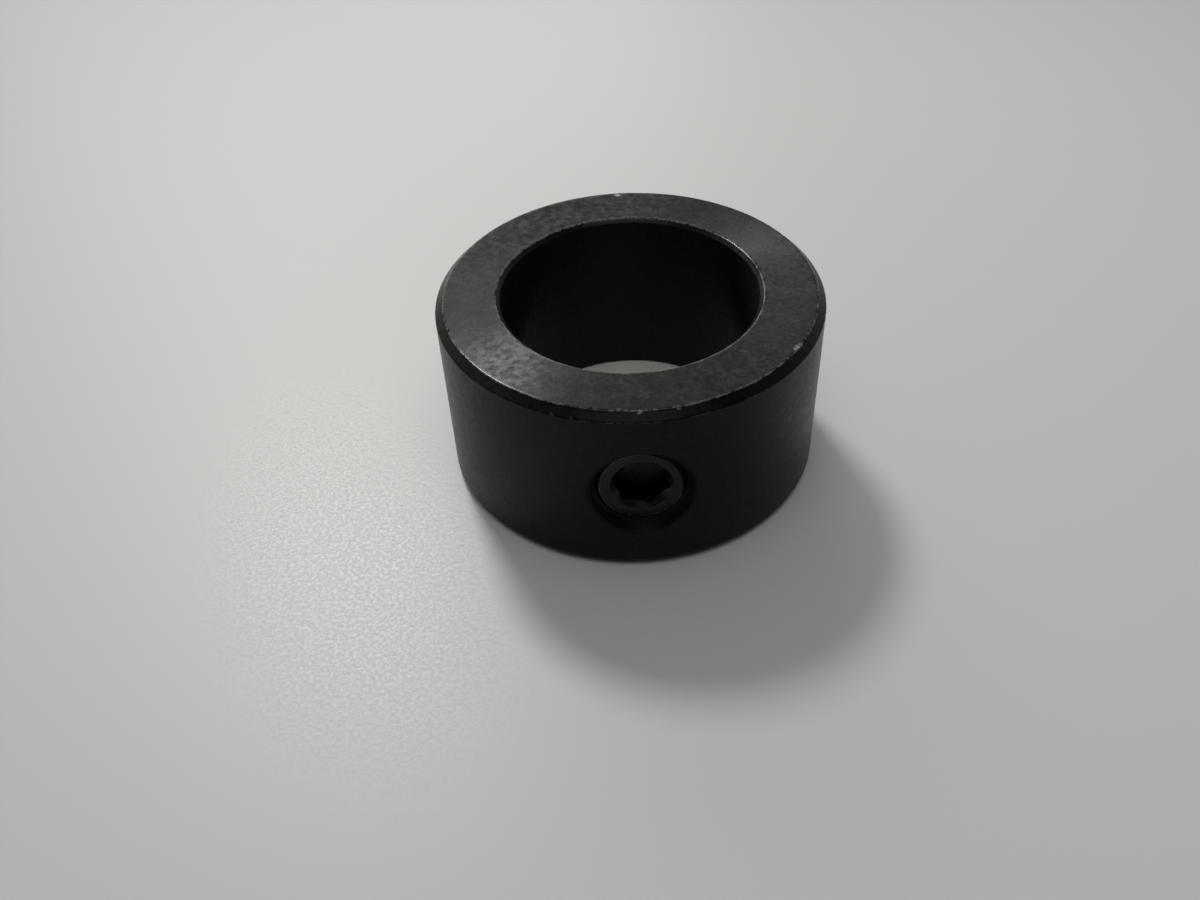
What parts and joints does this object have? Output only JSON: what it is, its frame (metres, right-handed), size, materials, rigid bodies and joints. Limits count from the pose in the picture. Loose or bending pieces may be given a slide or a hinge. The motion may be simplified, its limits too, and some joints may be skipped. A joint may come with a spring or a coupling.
{
  "type": "shaft collar",
  "caption": "One-piece set-screw shaft collar: a plain chamfered steel ring with a radial tapped hole, locked on its shaft by a headless hex-socket screw.",
  "frame": {"origin": "centre of the bore on the ring's lower face, which rests on the ground", "axes": "+Z along the bore axis, up through the ring's width; -Y out through the tapped hole; +X completes the right-handed frame"},
  "size_m": [0.0382, 0.0382, 0.0191],
  "materials": {
    "black_oxide_ring": "turned steel, black oxide with a thin oil film, rubbed bright along its edges",
    "black_oxide_screw": "rolled and heat-treated alloy steel, black oxide, oiled"
  },
  "bodies": {
    "collar": {"collar_ring": "black_oxide_ring"},
    "screw": {"set_screw": "black_oxide_screw"}
  },
  "joints": [
    {"name": "set_screw_travel", "type": "slide", "parent": "collar", "child": "screw", "axis": [0, -1, 0], "range_m": [-0.00159, 0.01905]}
  ]
}
